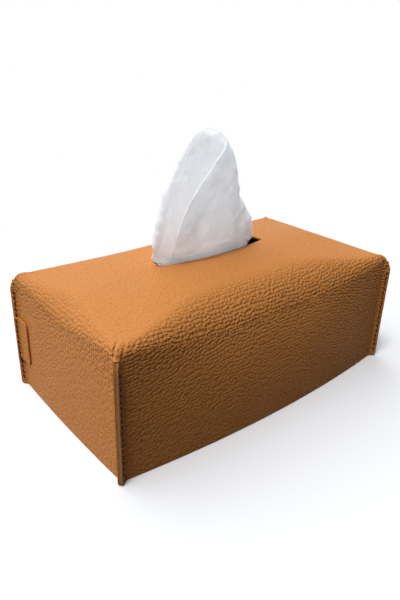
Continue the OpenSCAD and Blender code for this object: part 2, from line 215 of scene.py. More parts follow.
# Matt surfaces of fine, uneven fibres, drawn coarser than real ones so that they show
fibrous = {
    # Cut leather edge, dyed and burnished until its fibres lie flat
    "dyedLeatherEdge": {"fibre": 0.6, "depth": 0.05, "rough": 0.5, "sheen": 0.0,
                        "tones": ((0.3, "#a9621a"), (0.7, "#bf7524"))},
    # Cut leather edge, drawn paler and greyer than the hide and than the dyed edge; it goes on the front and
    # back walls' layer of each seam
    "paleLeatherEdge": {"fibre": 0.5, "depth": 0.1, "rough": 0.8, "sheen": 0.1,
                         "tones": ((0.3, "#a86c42"), (0.7, "#bd8052"))},
    # Microfibre suede with a soft nap
    "microfibreSuede": {"fibre": 0.5, "depth": 0.15, "rough": 0.95, "sheen": 0.4,
                        "tones": ((0.3, "#6b4f36"), (0.7, "#94724f"))},
    # Grey recycled board, pressed from coarse pulp
    "greyBoard": {"fibre": 0.8, "depth": 0.1, "rough": 0.9, "sheen": 0.0,
                  "tones": ((0.3, "#8b8479"), (0.7, "#a49c90"))},
    # Waxed and twisted polyester thread
    "waxedThread": {"fibre": 0.35, "depth": 0.08, "rough": 0.5, "sheen": 0.0,
                    "tones": ((0.3, "#3d130b"), (0.7, "#5e2014"))},
    # Bleached paperboard with a clay coat, smooth and nearly white
    "clayCoatedBoard": {"fibre": 1.5, "depth": 0.02, "rough": 0.45, "sheen": 0.0,
                        "tones": ((0.3, "#e6e3dc"), (0.7, "#edebe5"))},
    # Cut and folded edges of many soft tissues
    "stackedTissue": {"fibre": 1.0, "depth": 0.12, "rough": 0.95, "sheen": 0.1,
                      "tones": ((0.3, "#eaeaea"), (0.7, "#f6f6f6"))},
}
fibreGloss = 0.15


def fibreFinish(name):
    sizes = fibrous[name]
    material, tree, place = newMaterial(name)
    fibres = addNode(tree, "ShaderNodeTexNoise", {"Vector": place, "Scale": 1 / (sizes["fibre"] * mm),
                                                 "Detail": 4.0})
    colour = addNode(tree, "ShaderNodeValToRGB", {"Fac": fibres.outputs["Fac"]}, sizes["tones"])
    bump = addNode(tree, "ShaderNodeBump", {"Height": fibres.outputs["Fac"], "Distance": sizes["depth"] * mm})
    surface = addNode(tree, "ShaderNodeBsdfPrincipled", {
        "Base Color": colour.outputs[0], "Roughness": sizes["rough"], "Sheen Weight": sizes["sheen"],
        "Specular IOR Level": fibreGloss, "Normal": bump.outputs[0]})
    addNode(tree, "ShaderNodeOutputMaterial", {"Surface": surface.outputs[0]})
    return material


film = {"tone": "#eef3f5", "wave": 18, "waveDepth": 0.6, "rough": 0.08, "ior": 1.51}


# Polyethylene film, clear and a little hazy
def polyFilm():
    material, tree, place = newMaterial("polyethyleneFilm")
    waves = addNode(tree, "ShaderNodeTexNoise", {"Vector": place, "Scale": 1 / (film["wave"] * mm)})
    bump = addNode(tree, "ShaderNodeBump", {"Height": waves.outputs["Fac"],
                                            "Distance": film["waveDepth"] * mm})
    surface = addNode(tree, "ShaderNodeBsdfPrincipled", {
        "Base Color": hexColour(film["tone"]), "Roughness": film["rough"], "IOR": film["ior"],
        "Transmission Weight": 1.0, "Normal": bump.outputs[0]})
    addNode(tree, "ShaderNodeOutputMaterial", {"Surface": surface.outputs[0]})
    return material


paper = {
    "tones": ((0.35, "#f8fafc"), (0.65, "#fdfeff")),
    "crepe": 1.3,  # creping waves, drawn further apart than real to show
    "crepeDepth": 0.06,
    "cloud": 9,  # denser and thinner places in the paper
    "through": 0.66,  # share of the light that comes from behind
    "clear": 0.4,  # share of the view that passes between the fibres
}


# Creped tissue paper: soft, thin, and lit through from behind
def tissuePaper():
    material, tree, place = newMaterial("crepedTissuePaper")
    fibres = addNode(tree, "ShaderNodeTexNoise", {"Vector": place, "Scale": 1 / (paper["crepe"] * mm),
                                                 "Detail": 5.0, "Roughness": 0.6})
    clouds = addNode(tree, "ShaderNodeTexNoise", {"Vector": place, "Scale": 1 / (paper["cloud"] * mm),
                                                 "Detail": 3.0})
    colour = addNode(tree, "ShaderNodeValToRGB", {"Fac": clouds.outputs["Fac"]}, paper["tones"])
    bump = addNode(tree, "ShaderNodeBump", {"Height": fibres.outputs["Fac"],
                                            "Distance": paper["crepeDepth"] * mm})
    sides = {"Color": colour.outputs[0], "Normal": bump.outputs[0]}
    front = addNode(tree, "ShaderNodeBsdfDiffuse", sides)
    behind = addNode(tree, "ShaderNodeBsdfTranslucent", sides)
    lit = addNode(tree, "ShaderNodeMixShader", {0: paper["through"], 1: front.outputs[0],
                                                2: behind.outputs[0]})
    gaps = addNode(tree, "ShaderNodeBsdfTransparent")
    surface = addNode(tree, "ShaderNodeMixShader", {0: paper["clear"], 1: lit.outputs[0],
                                                    2: gaps.outputs[0]})
    addNode(tree, "ShaderNodeOutputMaterial", {"Surface": surface.outputs[0]})
    return material


leatherFinish = milledLeather("milledLeather")
tabFinish = milledLeather("pressedLeather", relief=0.35)
edgeFinish, paleEdgeFinish, suedeFinish, boardFinish, threadFinish, cartonFinish, stackFinish = (
    fibreFinish(name) for name in fibrous)
filmFinish = polyFilm()
paperFinish = tissuePaper()
print("materials made")


def finishMesh(name, bm, finishes, smooth=True):
    for face in bm.faces:
        face.smooth = smooth
    data = bpy.data.meshes.new(name)
    bm.to_mesh(data)
    bm.free()
    piece = bpy.data.objects.new(name, data)
    scene.collection.objects.link(piece)
    for finish in finishes:
        data.materials.append(finish)
    return piece


# The hide's own flat coordinates and how hard its grain was worked there, both in metres
def layHide(bm, spotOf):
    layer = bm.verts.layers.float_vector.new("hide")
    for vert in bm.verts:
        vert[layer] = Vector(spotOf(vert)) * mm


def settle(piece, body, node):
    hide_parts(node)
    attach(piece, body)


# The cover, sized from the carton that it slips over
cover = {
    "slipGap": 2.6, "headroom": 18, "leather": 1.1, "board": 0.8, "lining": 0.5, "glue": 0.02,
    "crown": 6, "cornerDrop": 3.8,
    "sideRoll": 27, "endRoll": 20, "cornerRoll": 5.5, "rollRun": 86,
    "sideBow": 7.5, "endBow": 1.3, "bowPower": 2.7,
    "lean": 0.045,  # long walls lean in as they meet the rounding, by this share of its radius
    "seamReach": 3.5, "seamGap": 0.1, "seamFoot": 3,
    "seamTurn": 2.0, "turnShare": 0.6,  # length of the bend from a seam into its wall, at most this share
    "seamEnd": 7, "seamTop": 0.34,  # near its top a seam's reach falls to this share
    "slotLength": 103, "slotWidth": 9, "slotBack": 6, "frontLip": 4.4, "rearLip": 2.0,
    "lipDip": 2.0, "dipRun": 18, "lipShare": 0.985, "slotEndShare": 0.7,
    "heldEnd": 5.4,  # the tissue draws the left end of the slot in by this
    "edgeRound": 0.45, "edgeEnd": 3,  # burnished edges are this round, up to this far below a seam's top
    "give": 0.35, "giveWave": 34,  # soft unevenness of the hide
    "stillRun": 25, "stillShare": 0.125,  # it fades this near to hem and slot, and to a wall's ends
    "boardFoot": 2.6, "boardSlot": (2.0, 6.0), "boardEnd": 1,
    "ridge": 0.28, "ridgeRun": 22,  # fold that runs on from each seam, as a share of its width
    "gussetRun": 9,  # what is left of it fades into the top over this
}
carton = nodeBox("carton")[1]
skin = cover["leather"] + cover["board"] + cover["lining"]
halfLength = carton.x + cover["slipGap"] + skin
halfWidth = carton.y + cover["slipGap"] + skin
edgeHeight = carton.z + cover["headroom"] + skin
cornerHeight = edgeHeight - cover["cornerDrop"] - cover["cornerRoll"]
seamHalf = cover["leather"] + cover["lining"] + cover["seamGap"] / 2
halfSlot = cover["slotLength"] / 2
diagonal = math.sqrt(2)


def sideRadius(x):
    return mix(cover["cornerRoll"], cover["sideRoll"], ease((halfLength - abs(x)) / cover["rollRun"]))


def endRadius(y):
    return mix(cover["cornerRoll"], cover["endRoll"], ease((halfWidth - abs(y)) / cover["rollRun"]))


def lipBow(x):
    return max(0.0, 1 - (x / halfSlot) ** 2)


def frontLip(x):
    return cover["slotBack"] - cover["slotWidth"] / 2 - cover["frontLip"] * lipBow(x)


def rearLip(x):
    return cover["slotBack"] + cover["slotWidth"] / 2 + cover["rearLip"] * lipBow(x)


def crownHeight(x, y):
    u, v = clamp(abs(x) / halfLength), clamp(abs(y) / halfWidth)
    nearEnd = 1 - ease((halfLength - abs(x)) / cover["rollRun"])
    nearSide = 1 - ease((halfWidth - abs(y)) / cover["rollRun"])
    dip = cover["lipDip"] * lipBow(x) * ease(1 - abs(y - frontLip(x)) / cover["dipRun"])
    return (edgeHeight + cover["crown"] * (1 - u * u) * (1 - v * v)
            - cover["cornerDrop"] * nearEnd * nearSide - dip)


def skinHeight(x, y, depth):
    rx, ry = endRadius(y) - depth, sideRadius(x) - depth
    ex = clamp(1 - (halfLength - depth - abs(x)) / rx)
    ey = clamp(1 - (halfWidth - depth - abs(y)) / ry)
    both = ex * ex + ey * ey
    r = (rx * ex * ex + ry * ey * ey) / both if both > 0 else 0
    return crownHeight(x, y) - depth - r * (1 - math.sqrt((1 - ex * ex) * (1 - ey * ey)))


def sideSizes(side):
    long = side % 2 == 0
    return (halfLength, halfWidth, cover["sideBow"]) if long else (halfWidth, halfLength, cover["endBow"])


def turned(side, q, out):
    return ((q, -out), (out, q), (-q, out), (-out, -q))[side]


def seamSizes(half, reach, depth):  # where a seam starts on its wall, its length and its bend
    sheet = seamHalf - depth
    length = reach + diagonal * depth + sheet
    return half - depth - diagonal * sheet, length, min(cover["seamTurn"], cover["turnShare"] * length)


# A column of a wall lies in zone "fin" or "turn" beside a seam, or in "wall", at a share of
# that zone, near the wall's end -1 or 1
def planPoint(side, column, reach, share, depth):
    zone, s, end = column
    half, out, bow = sideSizes(side)
    root, length, turn = seamSizes(half, reach, depth)
    if zone == "wall":
        q, rise = s * (root - turn), 0.0
    elif zone == "turn":  # a soft bend from the fin into the wall
        f, w = (1 - s) ** 2 * turn / diagonal, s * s * turn
        q, rise = end * (root + f - w), f
    else:
        f = mix(length, turn, s) / diagonal
        q, rise = end * (root + f), f
    radius = sideRadius(q) if side % 2 == 0 else endRadius(q)
    inset = cover["lean"] * (bow / cover["sideBow"]) ** 2 * radius
    swell = max(0.0, 1 - (q / root) ** 2) * (bow - (bow + inset) * share ** cover["bowPower"])
    return q, out - depth + rise + swell


def seamReach(z, share):
    nearTop = clamp(1 - (1 - share) * cornerHeight / cover["seamEnd"])
    return (cover["seamReach"] - rounded(cover["seamFoot"], z)) * mix(1, cover["seamTop"], nearTop ** 2)


def wallPoint(side, column, share, depth, sewn=1.0):
    q0, top = planPoint(side, column, 0.0, 1.0, depth)
    out = sideSizes(side)[1]
    foot = turned(side, q0, min(top, out - depth))
    z = share * skinHeight(foot[0], foot[1], depth)
    q, at = planPoint(side, column, seamReach(z, share) * sewn, share, depth)
    x, y = turned(side, q, at)
    return Vector((x, y, z))


def slotEdge(side, v):
    x = halfSlot * cover["lipShare"] * v * (-1 if side == 2 else 1)
    y = cover["slotWidth"] / 2 * cover["slotEndShare"] * v
    held = max(x, x * (1 - cover["heldEnd"] / halfSlot))
    return ((held, frontLip(x)), (halfSlot, cover["slotBack"] + y), (held, rearLip(x)),
            (cover["heldEnd"] - halfSlot, cover["slotBack"] - y))[side]


# How far a point of the top has come from its wall to the slot, as a share, and what is left
def topShare(start, side, v, row, depth):
    to = slotEdge(side, v)
    long = side % 2 == 0
    room = abs(start.y - to[1]) if long else abs(start.x - to[0])
    bend = ((sideRadius(start.x) if long else endRadius(start.y)) - depth) / room
    s = bend * (1 - math.cos(math.pi / 2 * row[1])) if row[0] == "bend" else mix(bend, 1, row[1])
    return s, (1 - s) * room


def rowTilt(row):  # how far the surface has turned up from the wall
    return math.pi / 2 * (row[1] if row[0] == "bend" else 1.0)


# The seam's edge runs on into the top as a fold, which tilts up with the rounding and fades
def topPoint(side, column, v, row, depth):
    start = wallPoint(side, column, 1.0, depth, 0.0)
    to = slotEdge(side, v)
    s = topShare(start, side, v, row, depth)[0]
    x, y = mix(start.x, to[0], s), mix(start.y, to[1], s)
    point = Vector((x, y, skinHeight(x, y, depth)))
    if column[0] != "wall":
        grown = wallPoint(side, column, 1.0, depth) - start
        grown.z = 0
        away = Vector((start.x, start.y, 0)).normalized()
        fade = 1 - ease((Vector((x, y)) - start.xy).length / cover["gussetRun"])
        out, tilt = grown.dot(away), rowTilt(row)
        point += (grown + away * out * (math.cos(tilt) - 1) + Vector((0, 0, out * math.sin(tilt)))) * fade
    return point


# How finely the skins are divided up the walls, in to the slot and round the box
mesh = {"wallStep": 2.6, "bend": 16, "flat": 22, "fold": 3, "long": 92, "end": 52, "weld": 0.005,
        "flatEnd": 0.985, "lipRows": (0.994, 1.0),
        "finShares": (0.0, 0.1, 0.35, 0.7, 0.95), "turnShares": (0.15, 0.35, 0.55, 0.75, 0.92),
        "footRows": (0.0, 0.15, 0.45, 0.95, 1.5, 2.2)}


def skinRows():
    foot = list(mesh["footRows"]) + [cover["seamFoot"]]
    count = round((cornerHeight - foot[-1]) / mesh["wallStep"])
    middle = [mix(foot[-1], cornerHeight, (i + 1) / count) for i in range(count)]
    rows = [("wall", z / cornerHeight) for z in foot + middle]
    rows += [("bend", (i + 1) / mesh["bend"]) for i in range(mesh["bend"])]
    rows += [("flat", mesh["flatEnd"] * (i + 1) / mesh["flat"]) for i in range(mesh["flat"])]
    return rows + [("flat", s) for s in mesh["lipRows"]]


def sideColumns(wallCells):
    fin = [("fin", s, -1) for s in mesh["finShares"]] + [("turn", s, -1) for s in mesh["turnShares"]]
    wall = [("wall", -1 + 2 * i / wallCells, 1) for i in range(wallCells + 1)]
    return fin + wall + [(zone, s, 1) for zone, s, end in reversed(fin)]


def skinColumns():
    columns = []
    for side in range(4):
        own = sideColumns(mesh["long"] if side % 2 == 0 else mesh["end"])
        last = len(own) - 1
        columns += [(side, c, -1 + 2 * i / last, 0.0) for i, c in enumerate(own)]
        columns += [(side, own[-1], 1.0, (i + 1) / (mesh["fold"] + 1)) for i in range(mesh["fold"])]
    return columns


# Depth of the leather's outer face, which rounds off towards a cut edge
def roundedFace(side, column, row, slotGap):
    if row[0] != "wall":
        return rounded(cover["edgeRound"], slotGap)
    gap = row[1] * cornerHeight
    if column[0] == "fin":
        gap = min(gap, column[1] * cover["seamReach"])
    return rounded(cover["edgeRound"], gap) * ease((1 - row[1]) * cornerHeight / cover["edgeEnd"])


boardNodes = ("front_board", "right_board", "back_board", "left_board")
boardEnds = [nodeBox(name)[1][i % 2] for i, name in enumerate(boardNodes)]


# The lining stands off the leather by a board's thickness wherever a board can lie
def liningFace(side, column, row, slotGap):
    half = sideSizes(side)[0]
    if row[0] != "wall":
        low, high = cover["boardSlot"]
        share = ease((slotGap - low) / (high - low))
    else:
        share = ease(row[1] * cornerHeight / cover["boardFoot"])
    if column[0] == "wall":
        share *= ease((1 - abs(column[1])) * half / (half - boardEnds[side] - cover["boardEnd"]))
    elif row[0] == "wall":
        share = 0.0
    return cover["leather"] + cover["glue"] + cover["board"] * share


# Soft unevenness of the hide, still at hem, seams and slot
def leatherGive(point, column, row, slotGap):
    if column[0] != "wall":
        return 0.0
    still = ease((point.z if row[0] == "wall" else slotGap) / cover["stillRun"])
    still *= ease((1 - abs(column[1])) / cover["stillShare"])
    return still * cover["give"] * noise.noise(point / cover["giveWave"])


# The grain was worked hardest where the hide bends: its depth on the flat top and low on the
# walls as shares of that, and how soon it comes and goes
hide = {"topRelief": 0.22, "wallRelief": 0.42, "wallFade": 25, "bendGain": 1.6}


# The cover is cut as a flat cross, and this is where a point of it lay before it was folded
def hideSpot(point, side, onWall):
    x, y = abs(point.x), abs(point.y)
    rx, ry = endRadius(point.y), sideRadius(point.x)
    ex, ey = clamp(1 - (halfLength - x) / rx), clamp(1 - (halfWidth - y) / ry)
    if not onWall:
        x, y = x + rx * (math.asin(ex) - ex), y + ry * (math.asin(ey) - ey)
        worked = mix(hide["topRelief"], 1, ease(max(ex, ey) * hide["bendGain"]))
    else:
        down = cornerHeight - point.z
        worked = mix(1, hide["wallRelief"], ease(down / hide["wallFade"]))
        if side % 2 == 0:
            y = halfWidth + ry * (math.pi / 2 - 1) + down
        else:
            x = halfLength + rx * (math.pi / 2 - 1) + down
    return math.copysign(x, point.x), math.copysign(y, point.y), worked


# A skin of the cover is one strip, wrapped round the box and drawn in to the slot, with an
# outer and an inner face at their depths below the leather's outer face
def wrapSkin(name, outerFace, innerFace, finishes, firstRow=0):
    rows, columns = skinRows(), skinColumns()
    count, last = len(columns), len(rows) - 1
    top = next(i for i, row in enumerate(rows) if row[0] != "wall")

    def plain(c, k, face):
        side, column, v, fold = columns[c % count]
        row = rows[k]
        onWall = row[0] == "wall"
        share = row[1] if onWall else 1.0
        start = wallPoint(side, column, share, 0.0)
        slotGap = None if onWall else topShare(start, side, v, row, 0.0)[1]
        flat = start if onWall else topPoint(side, column, v, row, 0.0)
        depth = face(side, column, row, slotGap) + leatherGive(flat, column, row, slotGap)
        return wallPoint(side, column, share, depth) if onWall else topPoint(side, column, v, row, depth)

    def place(c, k, face):
        side, column, v, fold = columns[c % count]
        if fold == 0:
            return plain(c, k, face)
        step = round(fold * (mesh["fold"] + 1))
        a, b = plain(c - step, k, face), plain(c - step + mesh["fold"] + 1, k, face)
        point = a.lerp(b, fold)
        if k < top:
            return point
        corner = wallPoint(side, column, 1.0, 0.0)
        fade = 1 - ease(Vector((point.x - corner.x, point.y - corner.y)).length / cover["ridgeRun"])
        tilt = rowTilt(rows[k])
        out = Vector((corner.x, corner.y, 0)).normalized() * math.cos(tilt) + Vector((0, 0, math.sin(tilt)))
        return point + out * cover["ridge"] * (b - a).length * 4 * fold * (1 - fold) * fade

    bm = bmesh.new()
    bmesh.ops.create_grid(bm, x_segments=count, y_segments=last, size=1)
    away = []
    for face in bm.faces:
        middle = face.calc_center_median()
        c, k = int((middle.x + 1) / 2 * count), int((middle.y + 1) / 2 * last)
        inFold = columns[c][3] > 0 or columns[(c + 1) % count][3] > 0
        if (inFold and k < top - 1) or k < firstRow:
            away.append(face)
    bmesh.ops.delete(bm, geom=away, context="FACES")
    inner = list(bm.faces)
    grown = bmesh.ops.extrude_face_region(bm, geom=inner, use_keep_orig=True)["geom"]
    outerVerts = {g for g in grown if isinstance(g, bmesh.types.BMVert)}
    outer = {g for g in grown if isinstance(g, bmesh.types.BMFace)}
    for face in bm.faces:  # the edges that the walls' own strips show along the seams
        xs, low = [v.co.x for v in face.verts], min(v.co.y for v in face.verts)
        side = columns[round((xs[0] + 1) / 2 * count) % count][0]
        onSeam = max(xs) - min(xs) < 1e-6 and low < 2 * (top - 1) / last - 1
        face.material_index = 3 if onSeam and side % 2 == 0 else 1
    for face in outer:
        face.material_index = 0
    for face in inner:
        face.material_index = 2
    spots = [(round((v.co.x + 1) / 2 * count), round((v.co.y + 1) / 2 * last)) for v in bm.verts]
    for vert, (c, k) in zip(bm.verts, spots):
        vert.co = place(c, k, outerFace if vert in outerVerts else innerFace) * mm
    bm.verts.index_update()
    layHide(bm, lambda vert: hideSpot(vert.co / mm, columns[spots[vert.index][0] % count][0],
                                      spots[vert.index][1] < top))
    bmesh.ops.remove_doubles(bm, verts=bm.verts, dist=mesh["weld"] * mm)
    bmesh.ops.recalc_face_normals(bm, faces=bm.faces)
    return finishMesh(name, bm, finishes)


leather = wrapSkin("cover_leather", roundedFace, lambda *spot: cover["leather"],
                   (leatherFinish, edgeFinish, suedeFinish, paleEdgeFinish))
settle(leather, "cover", "outer_leather")
lining = wrapSkin("cover_lining", liningFace, lambda *spot: liningFace(*spot) + cover["lining"],
                  (suedeFinish, edgeFinish, suedeFinish, suedeFinish), firstRow=3)
settle(lining, "cover", "lining")
print("leather and lining wrapped")


# The blank tab lies on the left end and turns up with the rear seam
tab = {"gap": 0.27, "thick": 1.2, "reach": 10.5, "corner": 4, "seam": 2.7, "cells": 14, "rows": 22,
       "edgeRound": 0.35, "bend": 2.8}
tabLow, tabHigh = (corner.z for corner in nodeBox("side_tab"))


def tabPoint(u, z, depth):  # u runs from the free edge over the bend to the seam's edge
    side, end = 3, -1
    root, length, turn = seamSizes(sideSizes(side)[0], tab["seam"], depth)
    if u < tab["reach"]:
        column = ("wall", (tab["reach"] - u) / (root - turn) - 1, end)
    elif u < tab["reach"] + tab["bend"]:
        column = ("turn", 1 - (u - tab["reach"]) / tab["bend"], end)
    else:
        column = ("fin", 1 - (u - tab["reach"] - tab["bend"]) / tab["seam"], end)
    q, at = planPoint(side, column, tab["seam"], z / cornerHeight, depth)
    return Vector((*turned(side, q, at), z))


def makeTab():
    bm = bmesh.new()
    bmesh.ops.create_grid(bm, x_segments=tab["cells"], y_segments=tab["rows"], size=1)
    grown = bmesh.ops.extrude_face_region(bm, geom=list(bm.faces), use_keep_orig=True)["geom"]
    for face in bm.faces:
        face.material_index = 0 if face in grown else 1
    for vert in bm.verts:
        z = mix(tabLow, tabHigh, 0.5 - 0.5 * math.cos(math.pi * (vert.co.y + 1) / 2))
        near = min(z - tabLow, tabHigh - z)
        start = rounded(tab["corner"], near)
        u = mix(start, tab["reach"] + tab["bend"] + tab["seam"], (vert.co.x + 1) / 2)
        depth = -tab["gap"]
        if vert in grown:
            depth -= tab["thick"] - rounded(tab["edgeRound"], min(u - start, near))
        vert.co = tabPoint(u, z, depth) * mm
    bmesh.ops.recalc_face_normals(bm, faces=bm.faces)
    layHide(bm, lambda vert: (vert.co.y / mm, vert.co.z / mm, 1))
    piece = finishMesh("blank_tab", bm, (tabFinish, edgeFinish))
    settle(piece, "cover", "side_tab")


makeTab()

# Stitches along both faces of each corner seam
stitch = {"pitch": 4.2, "inset": 2.4, "radius": 0.55, "gap": 0.8, "sink": 0.2, "slant": 0.2, "end": 0.3,
          "cells": 8, "blunt": 0.6}


def seamStitches(node, sides):
    low, high = nodeBox(node)
    count = round((high.z - low.z - 2 * stitch["end"]) / stitch["pitch"])
    bm = bmesh.new()
    for side, end in sides:
        half, out = sideSizes(side)[:2]
        root = half - diagonal * seamHalf
        up = (cover["seamReach"] + seamHalf - stitch["inset"]) / diagonal
        spot = Vector((*turned(side, end * (root + up), out + up), 0))
        outward = Vector((*turned(side, -end / diagonal, 1 / diagonal), 0))
        for i in range(count):
            z = low.z + stitch["end"] + (i + 0.5) * stitch["pitch"]
            overTab = (side, end) == (3, -1) and tabLow < z < tabHigh
            lift = stitch["sink"] + (tab["gap"] + tab["thick"] if overTab else 0)
            verts = bmesh.ops.create_uvsphere(bm, u_segments=stitch["cells"], v_segments=stitch["cells"],
                                              radius=1)["verts"]
            for vert in verts:
                vert.co.z = math.copysign(abs(vert.co.z) ** stitch["blunt"], vert.co.z)
            size = Matrix.Diagonal((stitch["radius"], stitch["radius"],
                                    (stitch["pitch"] - stitch["gap"]) / 2, 1))
            lean = Matrix.Rotation(stitch["slant"], 4, outward)
            move = Matrix.Translation(spot + outward * lift + Vector((0, 0, z)))
            bmesh.ops.transform(bm, matrix=move @ lean @ size, verts=verts)
    bmesh.ops.scale(bm, vec=(mm, mm, mm), verts=bm.verts)
    piece = finishMesh(node.replace("seam_thread", "stitches"), bm, (threadFinish,))
    settle(piece, "cover", node)


seamStitches("seam_thread_front_left", ((0, -1), (3, 1)))
seamStitches("seam_thread_front_right", ((0, 1), (1, -1)))
seamStitches("seam_thread_back_right", ((1, 1), (2, -1)))
seamStitches("seam_thread_back_left", ((2, 1), (3, -1)))
print("tab and stitches sewn in")

# Boards that stiffen the walls, cut to end where the rounding starts
board = {"cells": 48, "rows": 24, "topShare": 0.98}


def makeBoard(side, node):
    half = sideSizes(side)[0]
    low, high = nodeBox(node)
    bm = bmesh.new()
    bmesh.ops.create_grid(bm, x_segments=board["cells"], y_segments=board["rows"], size=1)
    grown = bmesh.ops.extrude_face_region(bm, geom=list(bm.faces), use_keep_orig=True)["geom"]
    for vert in bm.verts:
        column = ("wall", vert.co.x * boardEnds[side] / half, 1)
        top = min(high.z, board["topShare"] * wallPoint(side, column, 1.0, 0.0).z)
        z = mix(low.z, top, (vert.co.y + 1) / 2)
        depth = cover["leather"] + cover["glue"] / 2
        depth += 0 if vert in grown else cover["board"] - cover["glue"]
        share = z / wallPoint(side, column, 1.0, depth).z
        vert.co = wallPoint(side, column, share, depth) * mm
    bmesh.ops.recalc_face_normals(bm, faces=bm.faces)
    settle(finishMesh(node.replace("_", "_stiffening_"), bm, (boardFinish,), smooth=False), "cover",
           node)


for side, node in enumerate(boardNodes):
    makeBoard(side, node)
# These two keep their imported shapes
for name, finish in (("top_board", boardFinish), ("window_film", filmFinish)):
    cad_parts[name].data.materials.clear()
    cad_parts[name].data.materials.append(finish)
print("boards glued in")


# The carton: folded board with a window in its top and a glued flap over each end
box = {"wall": 0.6, "crease": 0.9, "windowLength": 150, "windowWidth": 46, "cells": 18,
       "flapShare": 0.62, "flap": 0.5, "flapInset": 1.2, "flapRound": 5, "flapSink": 0.02,
       "windowTurn": 3,  # how soon the window's round ends part
       "sharp": 0.8}  # edges that turn more than this are creased


def makeCarton():
    low, high = nodeBox("carton")
    middle = (low + high) / 2
    bm = bmesh.new()
    bmesh.ops.create_cube(bm, size=1, matrix=Matrix.Translation(middle) @ Matrix.Diagonal((*(high - low), 1)))
    lid = max(bm.faces, key=lambda face: face.calc_center_median().z)
    border = list(lid.edges)
    bmesh.ops.delete(bm, geom=[lid], context="FACES_ONLY")
    bmesh.ops.subdivide_edges(bm, edges=border, cuts=box["cells"] - 1)
    rim = [e for e in bm.edges if all(abs(v.co.z - high.z) < 0.01 for v in e.verts)]
    ring = bmesh.ops.create_circle(bm, segments=4 * box["cells"], radius=box["windowWidth"] / 2)["verts"]
    shift = (box["windowLength"] - box["windowWidth"]) / 2
    for vert in ring:
        vert.co.x += shift * clamp(vert.co.x / (box["windowWidth"] / 2) * box["windowTurn"], -1, 1)
        vert.co.z = high.z
    window = [e for e in bm.edges if all(v in ring for v in e.verts)]
    bmesh.ops.bridge_loops(bm, edges=rim + window)
    bmesh.ops.recalc_face_normals(bm, faces=bm.faces)
    folds = [e for e in bm.edges if len(e.link_faces) == 2 and e.calc_face_angle() > box["sharp"]]
    bmesh.ops.bevel(bm, geom=folds, offset=box["crease"], segments=3, profile=0.5, affect="EDGES",
                    material=-1)
    for end in (-1, 1):  # the outer flap comes down over the inner one
        tall = (high.z - low.z) * box["flapShare"]
        place = (end * (high.x + box["flap"] / 2 - box["flapSink"]), middle.y,
                 high.z - box["crease"] - tall / 2)
        size = (box["flap"], high.y - low.y - 2 * box["flapInset"], tall, 1)
        flap = bmesh.ops.create_cube(bm, size=1, matrix=Matrix.Translation(place)
                                     @ Matrix.Diagonal(size))["verts"]
        corners = [e for e in {e for v in flap for e in v.link_edges}
                   if abs(e.verts[0].co.x - e.verts[1].co.x) > 0.1 and e.verts[0].co.z < middle.z]
        bmesh.ops.bevel(bm, geom=corners, offset=box["flapRound"], segments=6, profile=0.5, affect="EDGES",
                        material=-1)
    bmesh.ops.scale(bm, vec=(mm, mm, mm), verts=bm.verts)
    piece = finishMesh("tissue_carton", bm, (cartonFinish,), smooth=False)
    wall = piece.modifiers.new("wall", "SOLIDIFY")
    wall.thickness = box["wall"] * mm
    wall.offset = -1
    settle(piece, "tissue_box", "carton")


makeCarton()

# The stack: folded tissues whose edges show on both long sides
pile = {"fold": 1.5, "round": 0.55, "cells": 40,
        "edge": ((0.0, 1.0), (0.15, 0.35), (0.5, 0.0), (0.85, 0.35)),  # rounded side of one fold
        "wave": 0.35, "waveSizes": (30, 60, 2)}


def makeStack():
    low, high = nodeBox("tissue_stack")
    count = round((high.z - low.z) / pile["fold"])
    step = (high.z - low.z) / count
    profile = []
    for i in range(count):
        for share, inset in pile["edge"]:
            profile.append((high.y - pile["round"] * inset, low.z + (i + share) * step))
    profile.append((high.y - pile["round"], high.z))
    bm = bmesh.new()
    loop = [bm.verts.new((low.x, y, z)) for y, z in profile]
    loop += [bm.verts.new((low.x, -y, z)) for y, z in reversed(profile)]
    start = bm.faces.new(loop)
    edge = [start]
    for i in range(pile["cells"]):
        grown = bmesh.ops.extrude_face_region(bm, geom=edge, use_keep_orig=i == 0)["geom"]
        bmesh.ops.translate(bm, vec=((high.x - low.x) / pile["cells"], 0, 0),
                            verts=[g for g in grown if isinstance(g, bmesh.types.BMVert)])
        edge = [g for g in grown if isinstance(g, bmesh.types.BMFace)]
    for vert in bm.verts:
        wave = abs(noise.noise(Vector([at / size for at, size in zip(vert.co, pile["waveSizes"])])))
        vert.co.y -= math.copysign(pile["wave"] * wave, vert.co.y)
    bmesh.ops.scale(bm, vec=(mm, mm, mm), verts=bm.verts)
    bmesh.ops.recalc_face_normals(bm, faces=bm.faces)
    piece = finishMesh("folded_tissues", bm, (stackFinish,), smooth=False)
    settle(piece, "tissue_box", "tissue_stack")


makeStack()
print("carton filled")


